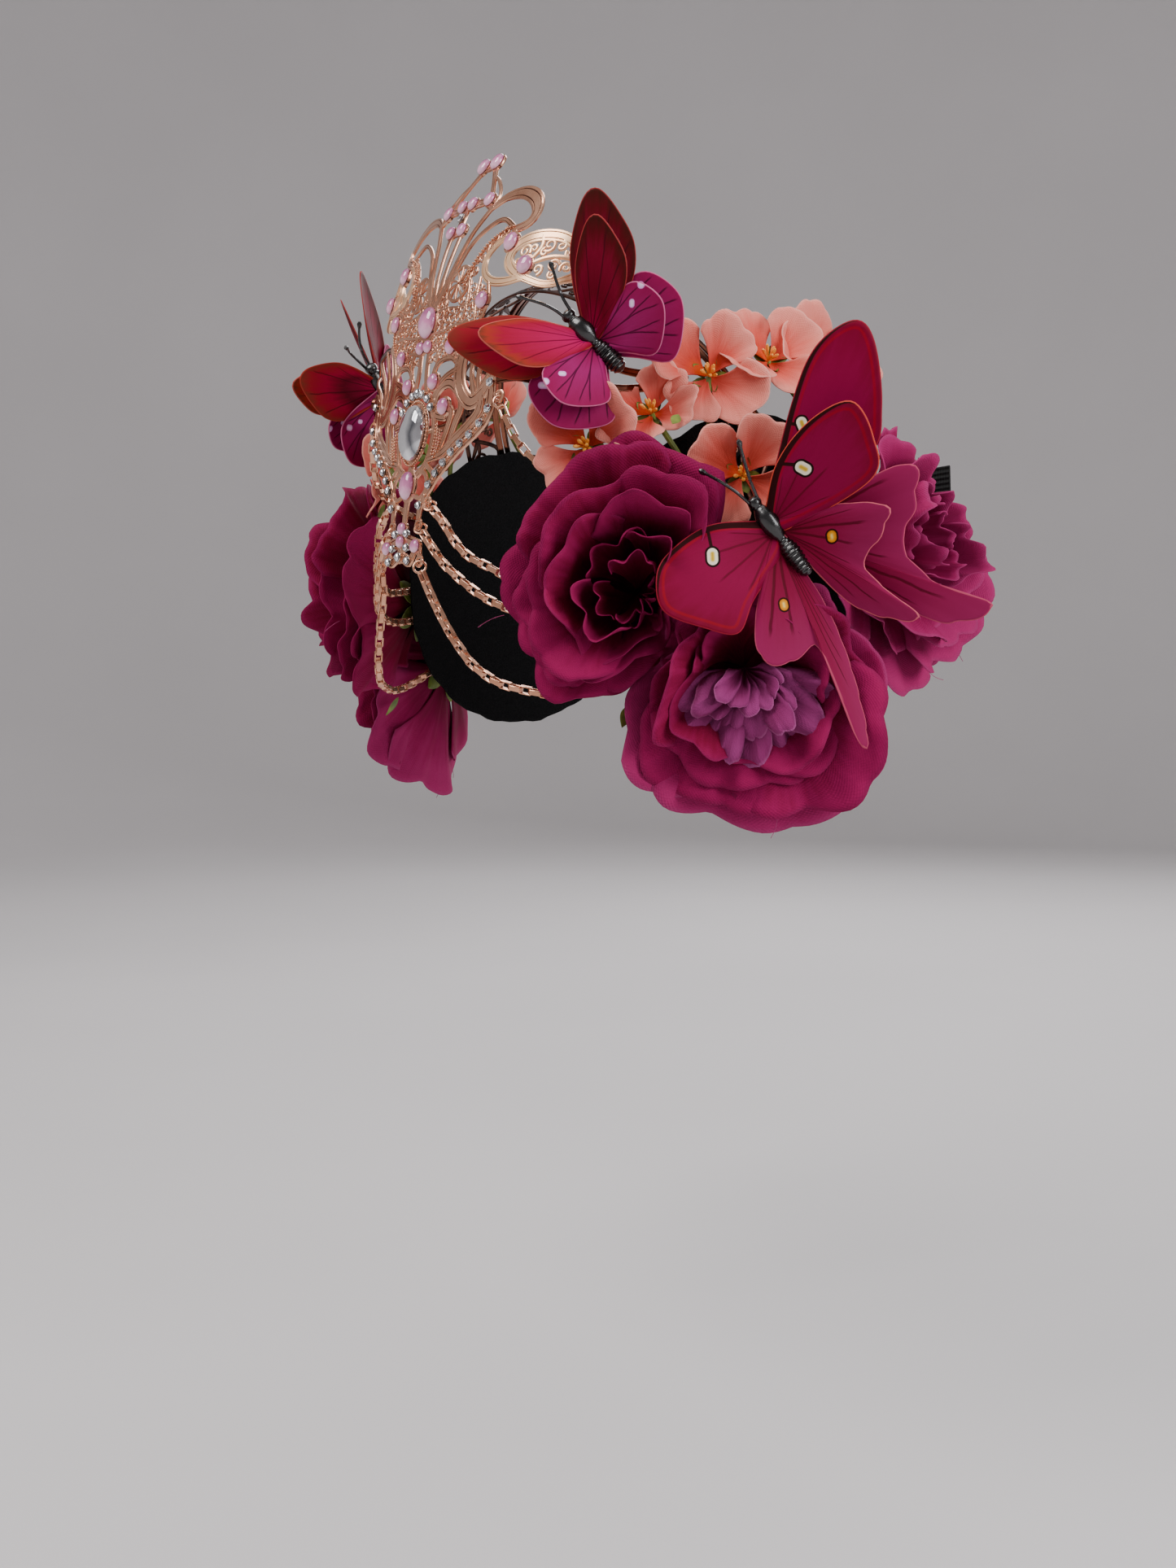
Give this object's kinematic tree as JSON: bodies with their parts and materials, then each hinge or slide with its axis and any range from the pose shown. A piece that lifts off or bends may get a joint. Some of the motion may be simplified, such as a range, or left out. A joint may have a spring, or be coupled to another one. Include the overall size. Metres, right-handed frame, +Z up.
{
  "type": "flower diadem",
  "caption": "Pierced metal crest on an arched filigree band, with set stones, draped chains, cloth flowers and cloth butterflies at the temples.",
  "frame": {"origin": "middle of the hollow that takes the head, level with the temples", "axes": "+Z up, the crest faces -Y, +X towards the wearer's left"},
  "size_m": [0.3034, 0.1997, 0.21],
  "materials": {
    "rose_gold": "polished rose gold plate",
    "dark_copper": "antiqued copper",
    "pink_glass": "milky pink cabochon",
    "clear_glass": "foil-backed clear cabochon",
    "black_felt": "black felt and elastic",
    "magenta_cloth": "sheer magenta cloth with frayed edges",
    "salmon_cloth": "salmon cloth",
    "crimson_wing": "printed crimson cloth wings"
  },
  "bodies": {
    "root": {"back_strap": "black_felt", "chain_1_left": "rose_gold", "chain_1_right": "rose_gold", "chain_2_left": "rose_gold", "chain_2_right": "rose_gold", "chain_3_left": "rose_gold", "chain_3_right": "rose_gold", "chain_4_left": "rose_gold", "chain_4_right": "rose_gold", "clear_oval": "clear_glass", "crest_plate": "rose_gold", "floret_1_left": "salmon_cloth", "floret_1_right": "salmon_cloth", "floret_2_left": "salmon_cloth", "floret_2_right": "salmon_cloth", "floret_3_left": "salmon_cloth", "floret_3_right": "salmon_cloth", "floret_4_left": "salmon_cloth", "floret_4_right": "salmon_cloth", "floret_5_left": "salmon_cloth", "floret_5_right": "salmon_cloth", "floret_6_left": "salmon_cloth", "headband": "dark_copper", "moth_left": "crimson_wing", "moth_right": "crimson_wing", "pad_left": "black_felt", "pad_right": "black_felt", "peony_a_left": "magenta_cloth", "peony_a_right": "magenta_cloth", "peony_b_left": "magenta_cloth", "peony_b_right": "magenta_cloth", "peony_c_left": "magenta_cloth", "peony_c_right": "magenta_cloth", "pink_oval_lower": "pink_glass", "pink_oval_upper": "pink_glass", "pink_stone_left_1": "pink_glass", "pink_stone_left_2": "pink_glass", "pink_stone_left_3": "pink_glass", "pink_stone_left_4": "pink_glass", "pink_stone_left_5": "pink_glass", "pink_stone_left_6": "pink_glass", "pink_stone_right_1": "pink_glass", "pink_stone_right_2": "pink_glass", "pink_stone_right_3": "pink_glass", "pink_stone_right_4": "pink_glass", "pink_stone_right_5": "pink_glass", "pink_stone_right_6": "pink_glass", "strap_tail": "black_felt", "top_butterfly_left": "crimson_wing", "top_butterfly_right": "crimson_wing"}
  },
  "joints": []
}
